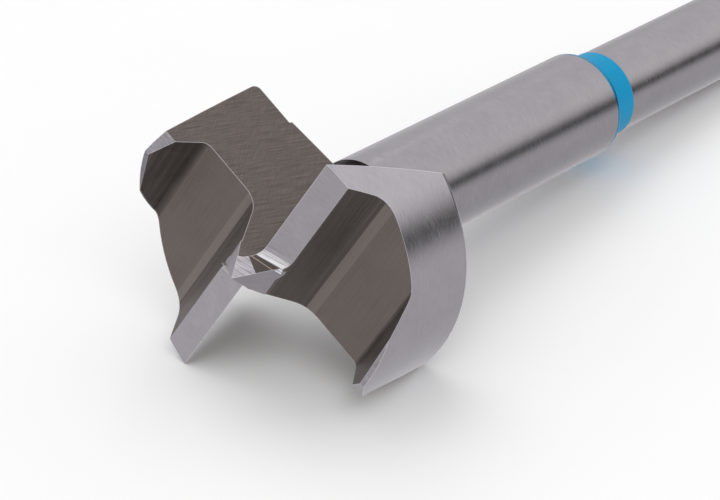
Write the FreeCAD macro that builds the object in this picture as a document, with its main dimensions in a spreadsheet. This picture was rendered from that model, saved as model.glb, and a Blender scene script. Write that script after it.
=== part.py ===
import FreeCAD, Part
import math
import os
import Sketcher

# Forstner bit: a boring tool with two cutting wings, turned in one piece with its collar and shank.
# Tool frame of the construction: the axis is Z, the centre point looks along +Z,
# the lifters' outer corners lie at Z = 0 and the cutting edge of the first wing runs along +X.
# The finished pieces are then laid on the floor, the way the bit comes to rest on a bench.

doc = FreeCAD.newDocument("forstner_bit")

# Driving dimensions, in millimetres, degrees or plain ratios.
SIZES = [
    ("head_diameter", 35.0),
    ("head_height", 14.15),
    ("overall_length", 90.0),
    ("shank_diameter", 10.0),
    ("shank_chamfer", 0.8),
    ("collar_diameter", 12.35),
    ("collar_front", 17.5),
    ("collar_back", 57.4),
    ("collar_round", 0.5),
    ("neck_diameter", 10.8),
    ("back_step_diameter", 24.0),
    ("back_step", 0.3),
    ("back_cone_drop", 0.65),
    ("back_round", 0.75),
    ("edge_offset", 0.21),
    ("bevel_width", 3.2),
    ("bevel_angle", 7.5),
    ("scoop_start", 2.75),
    ("rim_width", 0.65),
    ("scoop_depth", 4.57),
    ("scoop_inner_angle", 56.7),
    ("scoop_outer_angle", 57.8),
    ("scoop_inner_radius", 3.2),
    ("scoop_outer_radius", 1.2),
    ("scriber_peak", 0.1),
    ("scriber_offset", 1.07),
    ("scriber_back_angle", 32.3),
    ("scriber_front_angle", 13.5),
    ("web_half", 1.24),
    ("web_angle", 11.3),
    ("rake_angle", 24.0),
    ("gullet_radius", 1.0),
    ("spur_height", 3.5),
    ("spur_tip_flat", 0.06),
    ("thinning_height", 0.49),
    ("thinning_reach", 1.03),
    ("thinning_radius", 1.4),
    ("coat_thickness", 0.08),
    ("coat_length", 3.9),
]

sheet = doc.addObject("Spreadsheet::Sheet", "Sizes")
for row, (name, number) in enumerate(SIZES, start=1):
    sheet.set("A%d" % row, name)
    sheet.set("B%d" % row, str(number))
    sheet.setAlias("B%d" % row, name)
workings = doc.addObject("Spreadsheet::Sheet", "Workings")
doc.recompute()


def reckon(formula):
    """The present value of a formula over the sheet of sizes."""
    workings.set("A1", "=" + formula)
    workings.recompute()
    result = workings.get("A1")
    return float(getattr(result, "Value", result))


def new_body(label):
    body = doc.addObject("PartDesign::Body", label)
    body.Label = label
    return body


def new_sketch(body, plane, name, offset=None):
    """A sketch lying flat on one of the body's own origin planes."""
    sketch = body.newObject("Sketcher::SketchObject", name)
    for feature in body.Origin.OriginFeatures:
        if feature.Role == plane:
            sketch.AttachmentSupport = [(feature, "")]
    sketch.MapMode = "FlatFace"
    if offset:
        sketch.setExpression("AttachmentOffset.Base.z", offset)
    return sketch


def bind(sketch, index, formula):
    sketch.setExpression("Constraints[%d]" % index, formula)


def fix_point(sketch, geometry, end, formulas):
    """Tie one point of a sketch to the origin by two driven distances."""
    for kind, formula in zip(("DistanceX", "DistanceY"), formulas):
        number = reckon(formula)
        index = sketch.addConstraint(Sketcher.Constraint(kind, -1, 1, geometry, end, number))
        bind(sketch, index, formula)


def noted(formula):
    """Keep a formula in a cell of the workings sheet and give back that cell's name."""
    row = len(workings.getUsedCells()) + 2
    workings.set("B%d" % row, "=" + formula)
    workings.recompute()
    return "Workings.B%d" % row


def leaving_points(before, corner, after):
    """The two points, as formulas, where the rounding of a corner leaves its straight sides."""
    x = noted(corner[0])
    y = noted(corner[1])
    arms = []
    for point in (before, after):
        across = noted("(%s) - %s" % (point[0], x))
        up = noted("(%s) - %s" % (point[1], y))
        arms.append((across, up, noted("sqrt(%s^2 + %s^2)" % (across, up))))
    (a, b, first), (c, d, second) = arms
    cosine = noted("(%s*%s + %s*%s)/(%s*%s)" % (a, c, b, d, first, second))
    reach = noted("%s*sqrt((1 + %s)/(1 - %s))" % (corner[2], cosine, cosine))
    points = []
    for across, up, length in arms:
        points.append((noted("%s + %s*%s/%s" % (x, reach, across, length)),
                       noted("%s + %s*%s/%s" % (y, reach, up, length))))
    return points


def spot(point):
    return FreeCAD.Vector(reckon(point[0]), reckon(point[1]), 0)


def outline(sketch, corners):
    """A closed outline through corners; a corner is (x, y) or (x, y, radius), all as formulas."""
    stops = []
    for i, corner in enumerate(corners):
        if len(corner) == 3:
            stops.append(leaving_points(corners[i - 1], corner, corners[(i + 1) % len(corners)]))
        else:
            stops.append([corner])
    lines = []
    for i, stop in enumerate(stops):
        onward = stops[(i + 1) % len(stops)]
        lines.append(sketch.addGeometry(Part.LineSegment(spot(stop[-1]), spot(onward[0])), False))
    for i, stop in enumerate(stops):
        fix_point(sketch, lines[i], 1, stop[-1])
        if len(stop) == 1:
            sketch.addConstraint(Sketcher.Constraint("Coincident", lines[i - 1], 2, lines[i], 1))
        else:
            fix_point(sketch, lines[i - 1], 2, stop[0])
            round_corner(sketch, corners[i], stop, lines[i - 1], lines[i])


def round_corner(sketch, corner, stop, came, goes):
    """An arc of driven radius between the ends of two lines, bulging towards their corner."""
    start = spot(stop[0])
    end = spot(stop[1])
    chord = (end - start).Length
    radius = reckon(corner[2])
    sag = radius - math.sqrt(radius ** 2 - chord ** 2 / 4)
    middle = (start + end) * 0.5
    middle = middle + (spot(corner) - middle).normalize() * sag
    # A sketch measures its arcs counter-clockwise, so they are drawn that way round.
    turns_left = (middle - start).cross(end - middle).z > 0
    ends = (start, end) if turns_left else (end, start)
    bend = sketch.addGeometry(Part.Arc(ends[0], middle, ends[1]), False)
    first, last = (1, 2) if turns_left else (2, 1)
    sketch.addConstraint(Sketcher.Constraint("Coincident", came, 2, bend, first))
    sketch.addConstraint(Sketcher.Constraint("Coincident", bend, last, goes, 1))
    index = sketch.addConstraint(Sketcher.Constraint("Radius", bend, radius))
    bind(sketch, index, corner[2])


def turn(body, name, sketch):
    """A full turn of a sketch about the tool's axis."""
    feature = body.newObject("PartDesign::Revolution", name)
    feature.Profile = sketch
    feature.ReferenceAxis = (sketch, ["V_Axis"])
    feature.Angle = 360.0
    finish(body, feature, sketch)
    return feature


def cut(body, name, sketch, length, both=False, backwards=False):
    """A pocket of a driven length; it has to take something away."""
    before = body.Shape.Volume
    feature = body.newObject("PartDesign::Pocket", name)
    feature.Profile = sketch
    feature.Length = reckon(length)
    feature.setExpression("Length", length)
    if both:
        feature.SideType = "Symmetric"
    feature.Reversed = backwards
    finish(body, feature, sketch)
    if body.Shape.Volume > before - 1.0:
        raise RuntimeError("no cut was made by " + name)
    return feature


def finish(body, feature, sketch):
    sketch.Visibility = False
    body.Tip = feature
    doc.recompute()


def opposite(body, name, features):
    """The same cuts again, half a turn round the axis."""
    feature = body.newObject("PartDesign::PolarPattern", name)
    feature.Originals = features
    for axis in body.Origin.OriginFeatures:
        if axis.Role == "Z_Axis":
            feature.Axis = (axis, [""])
    feature.Angle = 360.0
    feature.Occurrences = 2
    body.Tip = feature
    doc.recompute()
    return feature


# The radius of a part of the bit is half of its diameter on the sheet.
HEAD = "Sizes.head_diameter/2"
SHANK = "Sizes.shank_diameter/2"
COLLAR = "Sizes.collar_diameter/2"
SCOOP_END = "(Sizes.head_diameter/2 - Sizes.rim_width)"
END = "(Sizes.spur_height - Sizes.overall_length)"
BACK = "(0 - Sizes.head_height)"
STEP = "(0 - Sizes.head_height - Sizes.back_step)"
CONE = "(0 - Sizes.head_height - Sizes.back_step - Sizes.back_cone_drop)"


def turn_blank(body):
    """Head, neck, collar and shank as one turned blank."""
    sketch = new_sketch(body, "XZ_Plane", "blank_outline")
    outline(sketch, [
        ("0", END),
        (SHANK + " - Sizes.shank_chamfer", END),
        (SHANK, END + " + Sizes.shank_chamfer"),
        (SHANK, "0 - Sizes.collar_back"),
        (COLLAR, "0 - Sizes.collar_back", "Sizes.collar_round"),
        (COLLAR, "0 - Sizes.collar_front"),
        ("Sizes.neck_diameter/2", "0 - Sizes.collar_front"),
        ("Sizes.neck_diameter/2", CONE),
        ("Sizes.back_step_diameter/2", STEP),
        ("Sizes.back_step_diameter/2 + 0.1", BACK),
        (HEAD, BACK, "Sizes.back_round"),
        (HEAD, "Sizes.scriber_peak"),
        ("0", "Sizes.scriber_peak"),
    ])
    return turn(body, "blank", sketch)


def grind_bevels(body):
    """The clearance strip behind each lifter's cutting edge."""
    sketch = new_sketch(body, "YZ_Plane", "bevel_outline", "0 - Sizes.web_half - 1")
    slope = "tan(Sizes.bevel_angle)"
    outer = "(Sizes.edge_offset - Sizes.bevel_width - 2)"
    outline(sketch, [
        ("Sizes.edge_offset + 3", "3*" + slope),
        ("Sizes.edge_offset + 3", "Sizes.scriber_peak + 1"),
        (outer, "Sizes.scriber_peak + 1"),
        (outer, "0 - (Sizes.bevel_width + 2)*" + slope),
    ])
    strip = cut(body, "bevel", sketch, "Sizes.head_diameter", backwards=True)
    return opposite(body, "bevels", [strip])


# Outward directions of the point's two facets; the other two are the same, half a turn on.
WIDE_FACET = (0.796, 0.195, 0.574)
NARROW_FACET = (0.055, -0.776, 0.629)


def facet_span(height):
    """Corners of the point's outline at the given height below the apex, as formulas."""
    planes = [WIDE_FACET, NARROW_FACET]
    planes += [(-a, -b, c) for a, b, c in planes]
    corners = []
    for i, first in enumerate(planes):
        second = planes[(i + 1) % len(planes)]
        spread = first[0] * second[1] - first[1] * second[0]
        x = (first[2] * second[1] - second[2] * first[1]) / spread
        y = (first[0] * second[2] - second[0] * first[2]) / spread
        corners.append(("%.5f*%s" % (x, height), "%.5f*%s" % (y, height)))
    return corners


def raise_spur(body):
    """The centre point: a low pyramid of ground facets with a hair of flat at its tip."""
    base = new_sketch(body, "XY_Plane", "spur_base", "0 - 1.2")
    outline(base, facet_span("(Sizes.spur_height + 1.2)"))
    tip = new_sketch(body, "XY_Plane", "spur_tip", "Sizes.spur_height - Sizes.spur_tip_flat")
    outline(tip, facet_span("Sizes.spur_tip_flat"))
    feature = body.newObject("PartDesign::AdditiveLoft", "spur")
    feature.Profile = base
    feature.Sections = [tip]
    feature.Ruled = True
    tip.Visibility = False
    finish(body, feature, base)
    return feature


def mill_scoop(body):
    """The long hollow behind the bevel, milled straight across the wing and out through its rim."""
    sketch = new_sketch(body, "YZ_Plane", "scoop_outline")
    lean = "/tan(Sizes.scoop_inner_angle)"
    rise = "/tan(Sizes.scoop_outer_angle)"
    floor = "0 - Sizes.scoop_depth"
    outline(sketch, [
        ("0 - Sizes.scoop_start", "0"),
        ("0 - Sizes.scoop_start - Sizes.scoop_depth" + lean, floor, "Sizes.scoop_inner_radius"),
        ("0 - " + SCOOP_END + " + Sizes.scoop_depth" + rise, floor, "Sizes.scoop_outer_radius"),
        ("0 - " + SCOOP_END + " - 1" + rise, "1"),
        ("0 - " + SCOOP_END + " - 1" + rise, "6"),
        ("0 - Sizes.scoop_start - 4", "6"),
    ])
    return cut(body, "scoop", sketch, "Sizes.head_diameter + 10", both=True)


def grind_scriber(body):
    """The peaked crest of the rim: one ground slope in front of the scriber, one behind it."""
    sketch = new_sketch(body, "XZ_Plane", "scriber_outline", SCOOP_END + " - 4")
    ahead = "(Sizes.head_diameter/2 - Sizes.scriber_offset)*tan(Sizes.scriber_front_angle)"
    behind = "(6 + Sizes.scriber_offset)*tan(Sizes.scriber_back_angle)"
    outline(sketch, [
        ("Sizes.scriber_offset", "Sizes.scriber_peak - 0.02"),
        (HEAD, "Sizes.scriber_peak - 0.02 - " + ahead),
        (HEAD, "4"),
        ("0 - 6", "4"),
        ("0 - 6", "Sizes.scriber_peak - 0.02 - " + behind),
    ])
    return cut(body, "scriber", sketch, "8", backwards=True)


def mill_gullet(body):
    """The chip space in front of a lifter: a leaning pocket between the rake face and the web."""
    top = "5"
    down = "(Sizes.collar_front + 5)"
    sketch = new_sketch(body, "XY_Plane", "gullet_outline", top)
    side = "(Sizes.web_half - 5*tan(Sizes.web_angle))"
    rake = "(Sizes.edge_offset + 5*tan(Sizes.rake_angle))"
    far = "(Sizes.head_diameter + 20)"
    outline(sketch, [
        (side, rake, "Sizes.gullet_radius"),
        (far, rake),
        (far, far),
        (side, far),
    ])
    before = body.Shape.Volume
    feature = body.newObject("PartDesign::Pocket", "gullet")
    feature.Profile = sketch
    feature.UseCustomVector = True
    feature.AlongSketchNormal = True
    web = math.tan(math.radians(reckon("Sizes.web_angle")))
    lean = math.tan(math.radians(reckon("Sizes.rake_angle")))
    feature.Direction = FreeCAD.Vector(web, -lean, -1)
    feature.setExpression("Direction.x", "tan(Sizes.web_angle)")
    feature.setExpression("Direction.y", "0 - tan(Sizes.rake_angle)")
    feature.Length = reckon(down)
    feature.setExpression("Length", down)
    finish(body, feature, sketch)
    if body.Shape.Volume > before - 1.0:
        raise RuntimeError("the gullet took nothing away")
    return feature


def thin_foot(body):
    """The hollow-ground foot that leads from a bevel strip up to the point's wide facet."""
    sketch = new_sketch(body, "XZ_Plane", "foot_outline", "0 - 1.5")
    a, b, c = WIDE_FACET
    base = "(1.5 - Sizes.edge_offset)*tan(Sizes.bevel_angle)"
    corner = "((%.4f*(Sizes.spur_height - %s) - %.4f)/%.4f)" % (c, base, 1.5 * b, a)
    rise = "Sizes.thinning_height"
    reach = "Sizes.thinning_reach"
    inside = corner + " - %.4f*%s - 0.4" % (c / a, rise)
    outline(sketch, [
        (inside, base + " - 0.8"),
        (corner + " + 1.5*" + reach, base + " - 0.8"),
        (corner + " + 1.5*" + reach, base + " - 0.11*" + rise),
        (corner + " + 0.11*" + reach, base + " + 0.2*" + rise, "Sizes.thinning_radius"),
        (inside, base + " + 1.7*" + rise),
    ])
    feature = body.newObject("PartDesign::Pad", "foot")
    feature.Profile = sketch
    feature.UseCustomVector = True
    feature.AlongSketchNormal = True
    slope = math.tan(math.radians(reckon("Sizes.bevel_angle")))
    feature.Direction = FreeCAD.Vector((b + c * slope) / a, -1, -slope)
    feature.setExpression("Direction.x", "(%.4f + %.4f*tan(Sizes.bevel_angle))/%.4f" % (b, c, a))
    feature.setExpression("Direction.z", "0 - tan(Sizes.bevel_angle)")
    feature.Length = 5.5
    finish(body, feature, sketch)
    return feature


def make_bit():
    body = new_body("bit")
    turn_blank(body)
    grind_bevels(body)
    raise_spur(body)
    opposite(body, "feet", [thin_foot(body)])
    scoop = mill_scoop(body)
    scriber = grind_scriber(body)
    gullet = mill_gullet(body)
    opposite(body, "second_wing", [scoop, scriber, gullet])
    return body


def make_band():
    """The thin coat of lacquer on the collar's back face and the first of the shank."""
    body = new_body("colour_band")
    sketch = new_sketch(body, "XZ_Plane", "coat_outline")
    inner = SHANK + " + Sizes.coat_thickness"
    face = COLLAR + " - Sizes.collar_round"
    back = "0 - Sizes.collar_back"
    outline(sketch, [
        (SHANK, back),
        (SHANK, back + " - Sizes.coat_length"),
        (inner, back + " - Sizes.coat_length"),
        (inner, back + " - Sizes.coat_thickness"),
        (face, back + " - Sizes.coat_thickness"),
        (face, back),
    ])
    turn(body, "coat", sketch)
    return body


def resting_turn():
    """The turn that lays the bit down on two corners of its head and the end of its shank."""
    radius = reckon(HEAD)
    edge = reckon("Sizes.edge_offset")
    height = reckon("Sizes.head_height - Sizes.back_round")
    wall = reckon("Sizes.web_half + (Sizes.head_height - Sizes.back_round)*tan(Sizes.web_angle)")
    lifter = FreeCAD.Vector(-math.sqrt(radius ** 2 - edge ** 2), -edge, 0)
    heel = FreeCAD.Vector(-wall, -math.sqrt(radius ** 2 - wall ** 2), -height)
    reach = reckon(SHANK)
    end = reckon(END + " + Sizes.shank_chamfer")
    down = FreeCAD.Vector(-0.8, -0.6, 0)
    for _ in range(60):
        flat = FreeCAD.Vector(down.x, down.y, 0).normalize()
        heel_of_shank = flat * reach + FreeCAD.Vector(0, 0, end)
        down = (lifter - heel_of_shank).cross(heel - heel_of_shank).normalize()
        if down.dot(lifter) < 0:
            down = down * -1
    along = FreeCAD.Vector(0, 0, -1)
    ahead = (along - down * along.dot(down)).normalize()
    up = down * -1
    side = up.cross(ahead)
    grid = FreeCAD.Matrix(
        ahead.x, ahead.y, ahead.z, 0,
        side.x, side.y, side.z, 0,
        up.x, up.y, up.z, 0,
        0, 0, 0, 1)
    return FreeCAD.Placement(grid)


def lay_down(bodies):
    """Lay every body the same way, its box centred over the origin and standing on the floor."""
    laid = resting_turn()
    main = bodies[0].Shape.copy()
    main.Placement = laid
    box = main.optimalBoundingBox(False)
    shift = FreeCAD.Vector(-(box.XMin + box.XMax) / 2, -(box.YMin + box.YMax) / 2, -box.ZMin)
    for body in bodies:
        body.Placement = FreeCAD.Placement(laid.Base + shift, laid.Rotation)


bodies = [make_bit(), make_band()]
lay_down(bodies)
workings.set("A1", "")
doc.recompute()

for item in doc.Objects:
    if "Invalid" in item.State or "Error" in item.State:
        raise RuntimeError("a feature failed: " + item.Name)
for body in bodies:
    if body.Shape.isNull() or not body.Shape.isValid():
        raise RuntimeError("the shape is not sound: " + body.Label)
    if len(body.Shape.Solids) != 1:
        raise RuntimeError("the body is not one solid: " + body.Label)

os.makedirs("parts", exist_ok=True)
for body in bodies:
    body.Shape.exportStep("parts/%s.step" % body.Label)
    box = body.Shape.optimalBoundingBox(False)
    print(body.Label, "volume", round(body.Shape.Volume, 1), "box",
          [round(v, 3) for v in (box.XMin, box.YMin, box.ZMin, box.XMax, box.YMax, box.ZMax)])
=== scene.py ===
# %% [markdown]
# # A forstner bit, lying on a white table
#
# A forstner bit bores wide, flat-bottomed holes in wood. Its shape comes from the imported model, where
# each solid was built with real sizes, and it is never touched here. This file gives the steel its
# surfaces, sets up the lamps and puts the camera where the picture was taken from.

import math

import bmesh
import bpy
from mathutils import Matrix, Vector

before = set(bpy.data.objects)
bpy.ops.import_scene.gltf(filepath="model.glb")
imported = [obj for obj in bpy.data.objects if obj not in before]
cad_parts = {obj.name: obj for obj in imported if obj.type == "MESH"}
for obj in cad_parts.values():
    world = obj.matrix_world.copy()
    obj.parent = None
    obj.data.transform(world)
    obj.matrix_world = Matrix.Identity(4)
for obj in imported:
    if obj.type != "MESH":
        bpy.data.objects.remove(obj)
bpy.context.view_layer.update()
print("pieces:", sorted(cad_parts))

# %% [markdown]
# ## Where the tool lies
#
# The bit lies on its side, so its axis slopes a little. Rules for its surfaces could be written in
# the table's directions, but then each of them would be a slanted one. They are short in the tool's
# own directions: `ACROSS` runs out along a cutting edge, `AHEAD` is square to it, and `TIP` looks
# along the axis, out of the centre point. `CORNER` is the place on the axis level with the outer
# corners of the cutting edges. From there all lengths are measured, in millimetres.

# %% The tool's own directions
ACROSS = Vector((0.089947, -0.572936, 0.814650))
AHEAD = Vector((0.062877, 0.819600, 0.569475))
TIP = Vector((-0.993960, 0.0, 0.109745))
CORNER = Vector((-0.0415066, 0.0, 0.0144122))
MILLIMETRES_PER_METRE = 1000.0
print("axis slopes", round(math.degrees(math.asin(TIP.z)), 2), "degrees")

# %% [markdown]
# ## A board for wiring nodes
#
# Shader nodes get long when every link is written out. They could be wired by hand in the editor,
# but a script can be read and run again. `Board` holds one node tree and offers the few moves the
# surfaces need: `number` for a step of arithmetic, `vector` for one with directions, and a noise. An
# input can be a plain value or a socket.


# %% A small wiring helper
class Board:
    def __init__(self, tree):
        self.tree = tree

    def node(self, kind, **settings):
        made = self.tree.nodes.new(kind)
        for name, value in settings.items():
            setattr(made, name, value)
        return made

    def plug(self, socket, value):
        if isinstance(value, bpy.types.NodeSocket):
            self.tree.links.new(value, socket)
        else:
            socket.default_value = value

    def plug_all(self, sockets, values):
        for socket, value in zip(sockets, values):
            self.plug(socket, value)

    def number(self, operation, *values):
        made = self.node("ShaderNodeMath", operation=operation)
        self.plug_all(made.inputs, values)
        return made.outputs[0]

    def line(self, value, slope, start):
        """The value times the slope, plus the start."""
        return self.number("MULTIPLY_ADD", value, slope, start)

    def vector(self, operation, *values):
        made = self.node("ShaderNodeVectorMath", operation=operation)
        self.plug_all(made.inputs, values)
        return made.outputs["Value" if operation == "DOT_PRODUCT" else "Vector"]

    def combine(self, x, y, z):
        made = self.node("ShaderNodeCombineXYZ")
        self.plug_all(made.inputs, (x, y, z))
        return made.outputs[0]

    def noise(self, place, scale, detail=2.0):
        made = self.node("ShaderNodeTexNoise")
        self.plug(made.inputs["Vector"], place)
        made.inputs["Scale"].default_value = scale
        made.inputs["Detail"].default_value = detail
        return made.outputs["Fac"]


print("wiring helper ready")

# %% [markdown]
# ## Masks
#
# A mask is a number that is 1 where a finish belongs and 0 where it doesn't. Masks could be painted
# on the mesh, but a painted one has a fixed grain. Those made of comparisons stay crisp at any size
# of picture. These helpers compare a value, join masks, and blend numbers or colours by a mask.


# %% Helpers for masks
class MaskBoard(Board):
    def above(self, value, limit):
        return self.number("GREATER_THAN", value, limit)

    def below(self, value, limit):
        return self.number("LESS_THAN", value, limit)

    def between(self, value, low, high):
        return self.number("MULTIPLY", self.above(value, low), self.below(value, high))

    def ramp(self, value, low, high):
        """0 at low, 1 at high, and an even slope between them."""
        made = self.node("ShaderNodeMapRange")
        names = ("Value", "From Min", "From Max")
        self.plug_all([made.inputs[name] for name in names], (value, low, high))
        return made.outputs[0]

    def outside(self, mask):
        return self.number("SUBTRACT", 1.0, mask)

    def all_of(self, *masks):
        result = masks[0]
        for mask in masks[1:]:
            result = self.number("MULTIPLY", result, mask)
        return result

    def any_of(self, *masks):
        result = masks[0]
        for mask in masks[1:]:
            result = self.number("MAXIMUM", result, mask)
        return result

    def blend(self, mask, first, second):
        """The first number where the mask is 0, the second where it is 1."""
        made = self.node("ShaderNodeMix", data_type="FLOAT")
        self.plug_all(made.inputs[:1] + made.inputs[2:4], (mask, first, second))
        return made.outputs[0]

    def tint(self, mask, first, second):
        """The first colour where the mask is 0, the second where it is 1."""
        made = self.node("ShaderNodeMix", data_type="RGBA")
        sockets = {socket.identifier: socket for socket in made.inputs}
        names = ("Factor_Float", "A_Color", "B_Color")
        self.plug_all([sockets[name] for name in names], (mask, first, second))
        return [s for s in made.outputs if s.identifier == "Result_Color"][0]


print("mask helpers ready")

# %% [markdown]
# ## Groups
#
# What more than one material uses is built once, as a shader node group, and placed in each of them.
# The nodes could be copied into every material, but then a change would have to be made in each. A
# group is opened with the names of its inputs, and closed with a name for each value it gives out.


# %% Helpers for groups
def open_group(name, *inputs):
    """A board on a new group, and the sockets its named inputs come in by."""
    board = MaskBoard(bpy.data.node_groups.new(name, "ShaderNodeTree"))
    for label in inputs:
        board.tree.interface.new_socket(label, in_out="INPUT", socket_type="NodeSocketFloat")
    return board, board.node("NodeGroupInput").outputs


def close_group(board, values):
    """Give each named value a socket to go out by."""
    for name in values:
        board.tree.interface.new_socket(name, in_out="OUTPUT", socket_type="NodeSocketFloat")
    leave = board.node("NodeGroupOutput")
    for name, value in values.items():
        board.plug(leave.inputs[name], value)
    print("group:", board.tree.name, "gives", ", ".join(values))
    return board.tree


def use(board, tree):
    """Place a group on a board."""
    made = board.node("ShaderNodeGroup")
    made.node_tree = tree
    return made


print("group helpers ready")

# %% [markdown]
# ## Tool position
#
# Every finish on the bit follows its shape, so a shader has to know where on the tool it is. This
# group gives that: the place in the tool's directions, the distance from the axis, and which way the
# surface faces. A real bit has two like wings. Each rule could be written twice, but here everything
# is folded onto one wing first, by half a turn, so a rule is written once.


# %% Group: tool position
def make_tool_position():
    board, _ = open_group("tool_position")
    here = board.node("ShaderNodeTexCoord").outputs["Object"]
    facing = board.node("ShaderNodeNewGeometry").outputs["Normal"]
    ways = (ACROSS, AHEAD, TIP)
    moved = board.vector("SUBTRACT", here, CORNER)
    metres = [board.vector("DOT_PRODUCT", moved, way) for way in ways]
    x, y, z = [board.number("MULTIPLY", length, MILLIMETRES_PER_METRE) for length in metres]
    face_x, face_y, face_z = [board.vector("DOT_PRODUCT", facing, way) for way in ways]
    wing = board.blend(board.above(x, 0.0), -1.0, 1.0)
    squares = board.number("ADD", board.number("POWER", x, 2.0), board.number("POWER", y, 2.0))
    return close_group(board, {
        "x": board.number("MULTIPLY", x, wing),
        "y": board.number("MULTIPLY", y, wing),
        "z": z,
        "radius": board.number("SQRT", squares),
        "turn": board.number("ARCTAN2", y, x),
        "face_x": board.number("MULTIPLY", face_x, wing),
        "face_y": board.number("MULTIPLY", face_y, wing),
        "face_z": face_z,
    })


TOOL_POSITION = make_tool_position()

# %% [markdown]
# ## Chip spaces
#
# Ahead of each cutting edge the cutter has milled a space for the chips. It has two walls: the web,
# which leans, and the rake, the hooked face under the edge. Its faces could be picked by hand, but
# the mesh has no names for them. So a spot belongs to a wall when it lies near the wall's plane and
# faces the right way. The corner between the two walls is rounded, and gets a rule of its own.

# %% Mask of the chip spaces
# A plane is written as its slope along the axis and its place at the level of the corners.
WEB_PLANE = (0.2, -1.24)
WEB_TWIST = -0.008
WEB_FACING = (0.9, 1.1)
WEB_SIDE = 0.6
RAKE_PLANE = (-0.445, -0.21)
RAKE_FACING = 0.85
NEAR_PLANE = 0.25
CORNER_REACH = (-0.1, 1.3)
CORNER_FACING = -0.5
GULLET_END = -17.6


def gullet_mask(board, at):
    web_gap = board.number("ADD", at["x"], board.line(at["z"], *WEB_PLANE))
    rake_gap = board.number("ADD", at["y"], board.line(at["z"], *RAKE_PLANE))
    web_near = board.between(board.line(at["y"], WEB_TWIST, web_gap), -NEAR_PLANE, NEAR_PLANE)
    rake_near = board.between(rake_gap, -NEAR_PLANE, NEAR_PLANE)
    web = board.all_of(web_near, board.between(at["face_x"], *WEB_FACING),
                       board.above(at["y"], board.number("MULTIPLY", at["z"], WEB_SIDE)))
    rake = board.all_of(rake_near, board.above(at["face_y"], RAKE_FACING))
    corner = board.all_of(board.between(web_gap, *CORNER_REACH),
                          board.between(rake_gap, *CORNER_REACH),
                          board.above(at["face_z"], CORNER_FACING))
    return board.all_of(board.any_of(web, rake, corner), board.above(at["z"], GULLET_END))


print("chip spaces end", -GULLET_END, "mm behind the corners")

# %% [markdown]
# ## Centre point
#
# The point is a low pyramid. Its wide facet is ground only at the top, and under a sloping line it
# keeps the milled skin, with a fine ridge across it. At its foot the wheel left a hollow. A facet
# shows by its lean: `face_z`, the share of its direction that looks along the tip, tells them apart.

# %% Masks of the centre point
# A lean is a share: 1 looks straight along the tip, and 0 straight out to the side.
POINT_RADIUS = 5.8
POINT_HEIGHT = (-0.5, 4.0)
WIDE_FACET = (0.561, 0.60)
FOOT_LEAN = 0.65
GROUND_ABOVE = (-0.382, 1.339)
RIDGE_WAY = (0.957, 0.289)
RIDGE_PLACE = (1.815, 1.865)


def point_masks(board, at, strip):
    low = board.all_of(board.below(at["radius"], POINT_RADIUS),
                       board.between(at["z"], *POINT_HEIGHT),
                       board.above(at["face_z"], WIDE_FACET[0]), board.outside(strip))
    wide = board.between(at["face_z"], *WIDE_FACET)
    under_line = board.below(at["z"], board.line(at["y"], *GROUND_ABOVE))
    unground = board.all_of(low, wide, under_line)
    point = board.all_of(low, board.outside(unground))
    over = board.line(at["y"], RIDGE_WAY[1], board.number("MULTIPLY", at["x"], RIDGE_WAY[0]))
    return {
        "point": point,
        "facet": board.all_of(point, wide),
        "foot": board.all_of(low, board.above(at["face_z"], FOOT_LEAN)),
        "unground": unground,
        "ridge": board.all_of(unground, board.between(over, *RIDGE_PLACE)),
    }


print("point is within", POINT_RADIUS, "mm of the axis")

# %% [markdown]
# ## Scoop
#
# Behind each cutting edge a long scoop is milled straight across the wing. The wall beside the rim is
# the far one, and the near one comes down from the strip behind the edge, with a lip under it. They
# all run across, so only how they lean tells them apart. A hard border would show as a line where
# the far wall bends into the floor, so its mask fades in there.

# %% Masks of the scoop
# The lean of a wall is how much it faces away from the axis, along `AHEAD`.
SQUARE_TO = 0.04
SCOOP_TOP = -0.35
SCOOP_FACING = 0.4
FAR_LEAN = (-0.25, -0.6)
NEAR_LEAN = (0.47, 0.51)
LIP_LEAN = (0.16, 0.49)


def scoop_masks(board, at):
    straight = board.all_of(board.between(at["face_x"], -SQUARE_TO, SQUARE_TO),
                            board.below(at["z"], SCOOP_TOP),
                            board.above(at["face_z"], SCOOP_FACING))
    # Under the point the scoop runs on past the axis, so its walls go by the side they are on.
    outwards = board.number("MULTIPLY", at["face_y"], board.number("SIGN", at["y"]))
    return {
        "far_wall": board.all_of(straight, board.ramp(outwards, *FAR_LEAN)),
        "near_wall": board.all_of(straight, board.ramp(outwards, *NEAR_LEAN)),
        "lip": board.all_of(straight, board.between(outwards, *LIP_LEAN)),
    }


print("scoop starts", -SCOOP_TOP, "mm under the corners")

# %% [markdown]
# ## Which surface is which
#
# On the real tool the milled hollows stay dark, and what the grinding wheel touched is bright: the
# turned body, the rim, the strip behind each cutting edge, the peaked crest of the rim and the point.
# One group gathers all the masks, so that the colours and the tool marks go by the same borders.

# %% Group: surfaces
RIM_RADIUS = 17.44
HEAD_BACK = -13.42
STRIP_LEAN = (0.988, 0.9945)
STRIP_DEPTH = -0.8
CREST_SIDE = (0.12, 0.7)
CREST_LEAN = (0.7, 0.99)
NECK = (-17.45, -14.3)
COLLAR_BACK = (-57.6, -56.7)
WET_RADIUS = 5.7


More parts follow.
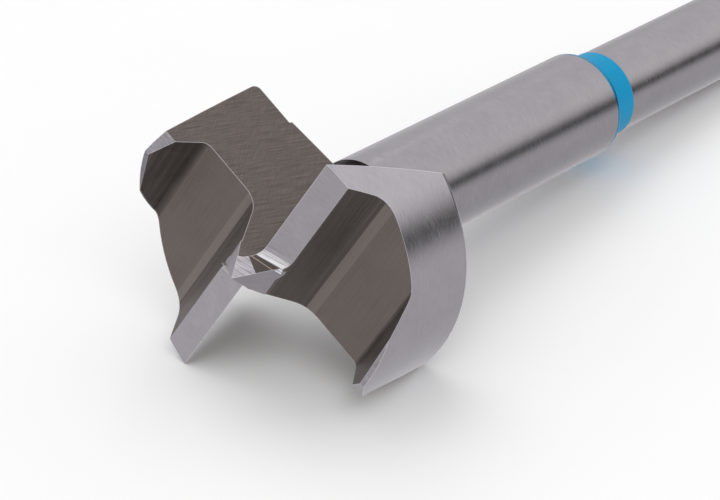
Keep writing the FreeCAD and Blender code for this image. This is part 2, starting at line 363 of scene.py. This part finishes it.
def make_surfaces():
    board, _ = open_group("surfaces")
    at = use(board, TOOL_POSITION).outputs
    gullet = gullet_mask(board, at)
    behind = board.below(at["z"], HEAD_BACK)
    in_head = board.outside(board.any_of(behind, gullet))
    strip = board.all_of(board.between(at["face_z"], *STRIP_LEAN), board.above(at["z"], STRIP_DEPTH))
    masks = {
        "gullet": gullet,
        "turned": board.all_of(behind, board.outside(gullet)),
        "rim": board.all_of(in_head, board.above(at["radius"], RIM_RADIUS)),
        "crest": board.all_of(board.between(at["face_y"], -SQUARE_TO, SQUARE_TO),
                              board.between(board.number("ABSOLUTE", at["face_x"]), *CREST_SIDE),
                              board.between(at["face_z"], *CREST_LEAN)),
        "neck": board.all_of(board.between(at["z"], *NECK),
                             board.below(at["radius"], POINT_RADIUS)),
        # The brush that laid the lacquer on also wet the collar's back edge.
        "wet_edge": board.all_of(board.between(at["z"], *COLLAR_BACK),
                                 board.above(at["radius"], WET_RADIUS)),
    }
    masks.update(point_masks(board, at, strip))
    masks.update(scoop_masks(board, at))
    masks["bright"] = board.any_of(masks["turned"], masks["rim"], strip, masks["crest"],
                                   masks["point"])
    return close_group(board, masks)


SURFACES = make_surfaces()

# %% [markdown]
# ## Marks left by the tools
#
# Milling leaves long parallel lines: straight across the wing in the scoop, and leaning in the chip
# spaces, lightly crossed. Grinding leaves short scratches that run round the rim and the shank, and
# fine lines at the point. Modelling them would take millions of faces. They are noise drawn out in
# one direction, so one helper makes each of them.

# %% Group: tool marks
# The lines are written as how far they are drawn out and how fine they are.
SCOOP_LINES = (60.0, 6.0)
BROAD_LINES = (200.0, 1.1)
BROAD_SHIFT = 3.1
BROAD_SHARE = 0.4
GULLET_LINES = (40.0, 13.0)
GULLET_SLANT = -0.364
CROSSING_LINES = (12.0, 8.0)
CROSSING_SLANT = 0.7
CROSSING_SHARE = 0.3
ROUND_LINES = (12.0, 10.0)
FLAT_LINES = (14.0, 11.0)
POINT_LINES = (30.0, 9.0)
POINT_SLANT = 0.34
CLOUD_SCALE = 0.35
CLOUD_SHARES = (0.3, 0.06)


def streaks(board, along, across, stretch, scale):
    """Noise drawn out along one direction."""
    place = board.combine(board.number("DIVIDE", along, stretch), across, 0.0)
    return board.noise(place, scale, detail=4.0)


def milled_marks(board, at, on):
    depth = board.number("SUBTRACT", at["z"], board.number("ABSOLUTE", at["y"]))
    fine = streaks(board, at["x"], depth, *SCOOP_LINES)
    broad = streaks(board, at["x"], board.number("ADD", depth, BROAD_SHIFT), *BROAD_LINES)
    scoop = board.blend(board.number("MULTIPLY", on["near_wall"], BROAD_SHARE), fine, broad)
    slanted = board.line(at["z"], GULLET_SLANT, at["y"])
    crossed = board.line(at["z"], CROSSING_SLANT, at["y"])
    gullet = board.blend(CROSSING_SHARE, streaks(board, at["z"], slanted, *GULLET_LINES),
                         streaks(board, at["z"], crossed, *CROSSING_LINES))
    return board.blend(on["gullet"], scoop, gullet)


def ground_marks(board, at, on):
    arc = board.number("MULTIPLY", at["turn"], at["radius"])
    round_lines = streaks(board, arc, at["z"], *ROUND_LINES)
    flat_lines = streaks(board, at["y"], at["x"], *FLAT_LINES)
    slanted = board.line(at["y"], POINT_SLANT, at["x"])
    point_lines = streaks(board, at["y"], slanted, *POINT_LINES)
    lines = board.blend(board.any_of(on["turned"], on["rim"]), flat_lines, round_lines)
    return board.blend(on["point"], lines, point_lines)


def make_marks():
    board, _ = open_group("tool_marks")
    at = use(board, TOOL_POSITION).outputs
    on = use(board, SURFACES).outputs
    marks = board.blend(on["bright"], milled_marks(board, at, on), ground_marks(board, at, on))
    clouds = board.noise(board.combine(at["x"], at["y"], at["z"]), CLOUD_SCALE, detail=3.0)
    share = board.blend(board.any_of(on["near_wall"], on["gullet"]), *CLOUD_SHARES)
    return close_group(board, {"height": marks, "shade": board.blend(share, marks, clouds)})


MARKS = make_marks()

# %% [markdown]
# ## Worn edges, with a painted highlight
#
# Where two surfaces meet, handling rubs the steel bright, and the pale colour laid there is also a
# painted highlight, standing in for the light an edge catches. The edges could be cut as tiny
# bevels, but the shape isn't changed here. The Bevel node gives a rounded normal, which differs from
# the plain one only beside an edge, and that difference, made stronger, is the mask.

# %% Group: edge wear and painted highlight
EDGE_CONTRAST = 6.0


def make_edge_wear_and_highlight():
    board, inside = open_group("edge_wear_and_highlight", "width")
    rounded = board.node("ShaderNodeBevel", samples=8)
    board.plug(rounded.inputs["Radius"], inside["width"])
    plain = board.node("ShaderNodeNewGeometry").outputs["Normal"]
    alike = board.vector("DOT_PRODUCT", rounded.outputs[0], plain)
    strong = board.number("MULTIPLY", board.outside(alike), EDGE_CONTRAST)
    return close_group(board, {"mask": board.number("MINIMUM", strong, 1.0)})


EDGE_WEAR_AND_HIGHLIGHT = make_edge_wear_and_highlight()

# %% [markdown]
# ## The colours of the steel
#
# Milled steel is brownish and dull, ground steel is pale with a touch of lilac. Each finish has a
# dark and a light colour, and the tool marks run between them. The far and near walls of the scoop,
# the neck, the crest and the wide facet of the point are painted darker: painted shade. The lip has a
# lighter colour of its own. The ridge and the stripes on the foot are painted highlights, and the
# pale edges are wear and a painted highlight.

# %% Steel colours
MILLED = (0.129, 0.109, 0.099, 1.0)
MILLED_LIGHT = (0.180, 0.155, 0.141, 1.0)
GULLET = (0.076, 0.064, 0.057, 1.0)
GULLET_LIGHT = (0.146, 0.124, 0.112, 1.0)
# Painted shade, for the scoop's far and near walls and for the neck:
SHADED_MILLED = (0.061, 0.050, 0.045, 1.0)
NEAR_WALL_SHADE = (0.085, 0.071, 0.065, 1.0)
LIP = (0.211, 0.185, 0.170, 1.0)
# A painted highlight for the ridge:
RIDGE_HIGHLIGHT = (0.272, 0.224, 0.190, 1.0)
GROUND = (0.313, 0.298, 0.322, 1.0)
GROUND_LIGHT = (0.400, 0.384, 0.406, 1.0)
TURNED = (0.265, 0.252, 0.271, 1.0)
TURNED_LIGHT = (0.335, 0.323, 0.338, 1.0)
# Painted shade for the crest, for the dark it mirrors:
CREST_SHADE = (0.124, 0.118, 0.127, 1.0)
# Painted shade for the wide facet of the point:
FACET_SHADE = (0.215, 0.205, 0.222, 1.0)
# A painted highlight for the pale stripes on the foot:
FOOT_HIGHLIGHT = (0.666, 0.660, 0.653, 1.0)
# Edge wear, with a painted highlight:
EDGE_WEAR_AND_HIGHLIGHT_COLOUR = (0.544, 0.530, 0.537, 1.0)
WET = (0.013, 0.218, 0.397, 1.0)


def lay_over(board, base, on, coats):
    """Lay each finish over the base, inside its own mask."""
    for name, shade, dark, light in coats:
        base = board.tint(on[name], base, board.tint(shade, dark, light))
    return base


def steel_colour(board, on, soft, crisp):
    milled = lay_over(board, board.tint(soft, MILLED, MILLED_LIGHT), on, (
        ("gullet", crisp, GULLET, GULLET_LIGHT),
        # Painted shade: the far and near walls of the scoop are painted darker.
        ("far_wall", soft, SHADED_MILLED, MILLED),
        ("near_wall", crisp, NEAR_WALL_SHADE, MILLED),
        ("lip", soft, MILLED_LIGHT, LIP),
        ("unground", soft, GULLET, SHADED_MILLED)))
    # Painted highlight: a pale line where the unmodelled ridge catches the light.
    milled = board.tint(on["ridge"], milled, RIDGE_HIGHLIGHT)
    ground = lay_over(board, board.tint(soft, GROUND, GROUND_LIGHT), on, (
        ("turned", soft, TURNED, TURNED_LIGHT),
        # Painted shade: the crest is painted darker than the rest of the ground steel.
        ("crest", soft, CREST_SHADE, GROUND),
        # Painted shade: the wide facet is painted darker than the rest of the point.
        ("facet", crisp, FACET_SHADE, GROUND_LIGHT),
        # Painted highlight: pale stripes on the foot of the point.
        ("foot", crisp, GROUND, FOOT_HIGHLIGHT)))
    colour = board.tint(on["bright"], milled, ground)
    # Painted shade: the neck behind the head is painted dark.
    return board.tint(on["neck"], colour, board.tint(soft, SHADED_MILLED, GULLET))


print("milled steel", MILLED[:3], "ground steel", GROUND[:3])

# %% [markdown]
# ## The steel
#
# The whole tool is one bar of steel, so one material covers it, and masks change its finish and lay
# the painted shade and painted highlights on it. Several materials could be given to the faces, but
# their borders would follow the triangles. The milled skin and the ground metal differ in colour, in
# how rough they are and in how deep their marks go. The point is satin, and its lines are in the
# colour alone: dents would break up facets so small.

# %% Material: steel
SOFT_SHADE = (0.3, 0.7)
CRISP_SHADE = (0.39, 0.61)
WEAR_AND_HIGHLIGHT_WIDTH = 0.00018
WEAR_AND_HIGHLIGHT_STRENGTH = 0.7
ROUGH_MILLED = (0.50, 0.62)
ROUGH_GROUND = (0.17, 0.28)
ROUGH_POINT = 0.5
METAL_MILLED = 0.85
MARK_HEIGHT = 0.00004
GROUND_MARKS = 0.3


def new_material(name):
    material = bpy.data.materials.new(name)
    material.use_nodes = True
    skin = material.node_tree.nodes["Principled BSDF"]
    return material, MaskBoard(material.node_tree), skin


def add_bump(board, skin, height, distance, strength):
    bump = board.node("ShaderNodeBump")
    bump.inputs["Distance"].default_value = distance
    board.plug(bump.inputs["Strength"], strength)
    board.plug(bump.inputs["Height"], height)
    board.plug(skin.inputs["Normal"], bump.outputs[0])


def make_steel():
    material, board, skin = new_material("steel")
    on = use(board, SURFACES).outputs
    marks = use(board, MARKS).outputs
    edges = use(board, EDGE_WEAR_AND_HIGHLIGHT)
    edges.inputs["width"].default_value = WEAR_AND_HIGHLIGHT_WIDTH
    soft = board.ramp(marks["shade"], *SOFT_SHADE)
    crisp = board.ramp(marks["shade"], *CRISP_SHADE)
    colour = steel_colour(board, on, soft, crisp)
    # Pale edges: wear from handling, and a painted highlight where an edge catches the light.
    edge_wear_and_highlight_mask = board.all_of(edges.outputs[0], board.blend(on["foot"], WEAR_AND_HIGHLIGHT_STRENGTH, 0.0))
    colour = board.tint(edge_wear_and_highlight_mask, colour, EDGE_WEAR_AND_HIGHLIGHT_COLOUR)
    board.plug(skin.inputs["Base Color"], board.tint(on["wet_edge"], colour, WET))
    rough_ground = board.blend(on["point"], board.blend(soft, *ROUGH_GROUND), ROUGH_POINT)
    rough = board.blend(on["bright"], board.blend(soft, *ROUGH_MILLED), rough_ground)
    board.plug(skin.inputs["Roughness"], rough)
    board.plug(skin.inputs["Metallic"], board.blend(on["bright"], METAL_MILLED, 1.0))
    depth = board.blend(on["point"], board.blend(on["bright"], 1.0, GROUND_MARKS), 0.0)
    add_bump(board, skin, marks["height"], MARK_HEIGHT, depth)
    return material


STEEL = make_steel()
print("material:", STEEL.name)

# %% [markdown]
# ## The lacquer
#
# The ring behind the collar is a thin coat of blue lacquer, brushed on as the bit turned. It is even
# in colour with the faintest ripple, so one noise drives the colour, the gloss and a slight bump. A
# strong gloss would show the lamps as white patches, which a satin coat doesn't.

# %% Material: blue lacquer
BLUE = (0.003, 0.265, 0.500, 1.0)
BLUE_THIN = (0.006, 0.310, 0.570, 1.0)
LACQUER_ROUGH = (0.38, 0.5)
LACQUER_SHINE = 0.12
RIPPLE_SCALE = 0.8
RIPPLE_HEIGHT = 0.00002
RIPPLE_STRENGTH = 0.3


def make_lacquer():
    material, board, skin = new_material("blue_lacquer")
    at = use(board, TOOL_POSITION).outputs
    ripple = board.noise(board.combine(at["x"], at["y"], at["z"]), RIPPLE_SCALE, detail=3.0)
    board.plug(skin.inputs["Base Color"], board.tint(ripple, BLUE, BLUE_THIN))
    board.plug(skin.inputs["Roughness"], board.blend(ripple, *LACQUER_ROUGH))
    skin.inputs["Specular IOR Level"].default_value = LACQUER_SHINE
    add_bump(board, skin, ripple, RIPPLE_HEIGHT, RIPPLE_STRENGTH)
    return material


LACQUER = make_lacquer()
print("material:", LACQUER.name)

# %% [markdown]
# ## Dress the pieces
#
# The model has two pieces, the steel bit and the coat of lacquer, and the record names a material
# slot for each. A material could be linked by its place in a list, but names are safer: each piece
# gets its material by name, and its slot is declared with it.

# %% Give each piece its material
for name, slot, material in (("bit", "steel", STEEL), ("colour_band", "blue_lacquer", LACQUER)):
    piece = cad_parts[name]
    piece.data.materials.clear()
    piece.data.materials.append(material)
    print(name, "wears", slot)

# %% [markdown]
# ## The table
#
# A wide pale sheet lies under the tool. A white background alone would let the bit float. The sheet
# reads as white in the picture and still takes the soft shadow that sets the tool down.

# %% Table top
TABLE_REACH = 3.0
PALE = (0.95, 0.95, 0.95, 1.0)
PALER = (0.97, 0.97, 0.97, 1.0)
GRAIN = 60.0
TABLE_ROUGH = 0.9
TABLE_SHINE = 0.1


def dress_table(mesh):
    material, board, skin = new_material("table_white")
    grain = board.noise(board.node("ShaderNodeTexCoord").outputs["Object"], GRAIN)
    board.plug(skin.inputs["Base Color"], board.tint(grain, PALE, PALER))
    skin.inputs["Roughness"].default_value = TABLE_ROUGH
    skin.inputs["Specular IOR Level"].default_value = TABLE_SHINE
    mesh.materials.append(material)


def make_table():
    shell = bmesh.new()
    bmesh.ops.create_grid(shell, x_segments=1, y_segments=1, size=TABLE_REACH)
    mesh = bpy.data.meshes.new("table_top")
    shell.to_mesh(mesh)
    shell.free()
    dress_table(mesh)
    table = bpy.data.objects.new("table_top", mesh)
    bpy.context.scene.collection.objects.link(table)
    # The steel mirrors the room and not the table, as on a picture taken on a lit glass sheet.
    table.visible_glossy = False
    return table


TABLE_TOP = make_table()
print("stage:", TABLE_TOP.name)

# %% [markdown]
# ## Lamps
#
# Bright steel shows what stands round it, so a small lamp would be a hard spot on it. Broad panels
# give soft edges to the light and to the shadow. The key panel is high over the camera, the top
# panel high behind the tool, and a weak one stands on the left and looks into the front hollows.

# %% Lamps
# Each row: name, place, width in metres and power in watts.
LAMPS = (
    ("key_panel", (-0.35, -0.55, 0.75), 0.6, 2.0),
    ("top_panel", (0.30, 0.40, 0.85), 0.7, 2.4),
    ("front_panel", (-0.86, 0.21, 0.24), 0.7, 0.45),
)
TOOL_MIDDLE = Vector((-0.02, 0, 0.012))


def panel(name, place, size, power):
    """A square lamp that looks at the middle of the tool."""
    lamp = bpy.data.lights.new(name, "AREA")
    lamp.shape = "SQUARE"
    lamp.size = size
    lamp.energy = power
    stand = bpy.data.objects.new(name, lamp)
    stand.location = place
    aim = TOOL_MIDDLE - stand.location
    stand.rotation_euler = aim.to_track_quat("-Z", "Y").to_euler()
    bpy.context.scene.collection.objects.link(stand)


for lamp_row in LAMPS:
    panel(*lamp_row)
print("lamps:", len(bpy.data.lights))

# %% [markdown]
# ## The room
#
# The world stands for the room. To the camera it is plain white. To the steel it is white too, apart
# from a dark line on the far side, a little under level, with a pale band over it: they show as the
# dark and the bright bands on the collar and on the rim. Cards could be stood there, but bands in the
# world have no edges and no shadow. Dull surfaces get a plain grey, which with the lamps adds up to
# plain daylight, so that a white card would render white.

# %% The room
WHITE = (1.0, 1.0, 1.0, 1.0)
PLAIN = (0.70, 0.70, 0.70, 1.0)
FAR_WAY = Vector((0.74, -0.67, 0.0))
FAR_START = (0.1, 0.7)
# A line or band is written as its height over the level and how far it spreads.
DARK_LINE = (-0.03, 0.133)
DARK_LINE_DEPTH = 0.97
PALE_BAND = (0.32, 0.16)
PALE_BAND_GLOW = 0.2
DIM_WAY = Vector((0.76, 0.62, 0.19))
DIM_DEPTH = 0.17
DIM_SHARPNESS = 4.0
RISE = 0.33
ROOM_TINT = (1.0, 0.985, 1.01)
BAND_TINT = (1.0, 0.98, 0.75)


def hump(board, value, centre, spread):
    """A smooth hump of height 1 round the centre."""
    off = board.number("MULTIPLY", board.number("SUBTRACT", value, centre), 1.0 / spread)
    return board.number("EXPONENT", board.number("MULTIPLY", board.number("POWER", off, 2.0), -1.0))


def room_colour(board):
    """What the steel mirrors in each direction."""
    way = board.node("ShaderNodeTexCoord").outputs["Generated"]
    height = board.vector("DOT_PRODUCT", way, Vector((0, 0, 1)))
    far_side = board.ramp(board.vector("DOT_PRODUCT", way, FAR_WAY), *FAR_START)
    line = board.all_of(far_side, hump(board, height, *DARK_LINE))
    band = board.all_of(far_side, hump(board, height, *PALE_BAND), PALE_BAND_GLOW)
    side = board.number("MAXIMUM", board.vector("DOT_PRODUCT", way, DIM_WAY), 0.0)
    dim = board.number("MULTIPLY", board.number("POWER", side, DIM_SHARPNESS), DIM_DEPTH)
    glow = board.number("SUBTRACT", board.line(height, RISE, 1.0), dim)
    glow = board.number("SUBTRACT", glow, board.number("MULTIPLY", line, DARK_LINE_DEPTH))
    return board.combine(*[board.line(glow, room, board.number("MULTIPLY", band, tint))
                           for room, tint in zip(ROOM_TINT, BAND_TINT)])


def make_room():
    world = bpy.data.worlds.new("studio")
    world.use_nodes = True
    bpy.context.scene.world = world
    board = MaskBoard(world.node_tree)
    ray = board.node("ShaderNodeLightPath").outputs
    mirrored = board.any_of(ray["Is Glossy Ray"], ray["Is Transmission Ray"])
    lit = board.tint(mirrored, PLAIN, room_colour(board))
    sky = world.node_tree.nodes["Background"]
    board.plug(sky.inputs["Color"], board.tint(ray["Is Camera Ray"], lit, WHITE))
    return world


ROOM = make_room()
print("world:", ROOM.name)

# %% [markdown]
# ## Camera
#
# The picture was taken with a long lens from a little above, which keeps the far end of the shank
# nearly as wide as the near one. The camera could be set by eye, but then no edge would meet its
# place. Its place, direction and lens were worked out from the outlines of the head, the collar and
# the shank. It leans a few degrees, as the one in the picture did.

# %% Camera
CAMERA_PLACE = Vector((-0.278187, -0.221824, 0.201669))
CAMERA_RIGHT = Vector((0.628915, -0.774858, -0.063721))
CAMERA_UP = Vector((0.422170, 0.271530, 0.864895))

lens = bpy.data.cameras.new("camera")
lens.sensor_width = 36.0
lens.lens = 179.72
lens.clip_start = 0.01
lens.clip_end = 10.0
camera = bpy.data.objects.new("camera", lens)
back = CAMERA_RIGHT.cross(CAMERA_UP)
turn = Matrix((CAMERA_RIGHT, CAMERA_UP, back)).transposed().to_4x4()
camera.matrix_world = Matrix.Translation(CAMERA_PLACE) @ turn
bpy.context.scene.collection.objects.link(camera)
bpy.context.scene.camera = camera
bpy.context.scene.view_settings.view_transform = "Standard"
print("lens", lens.lens, "mm")
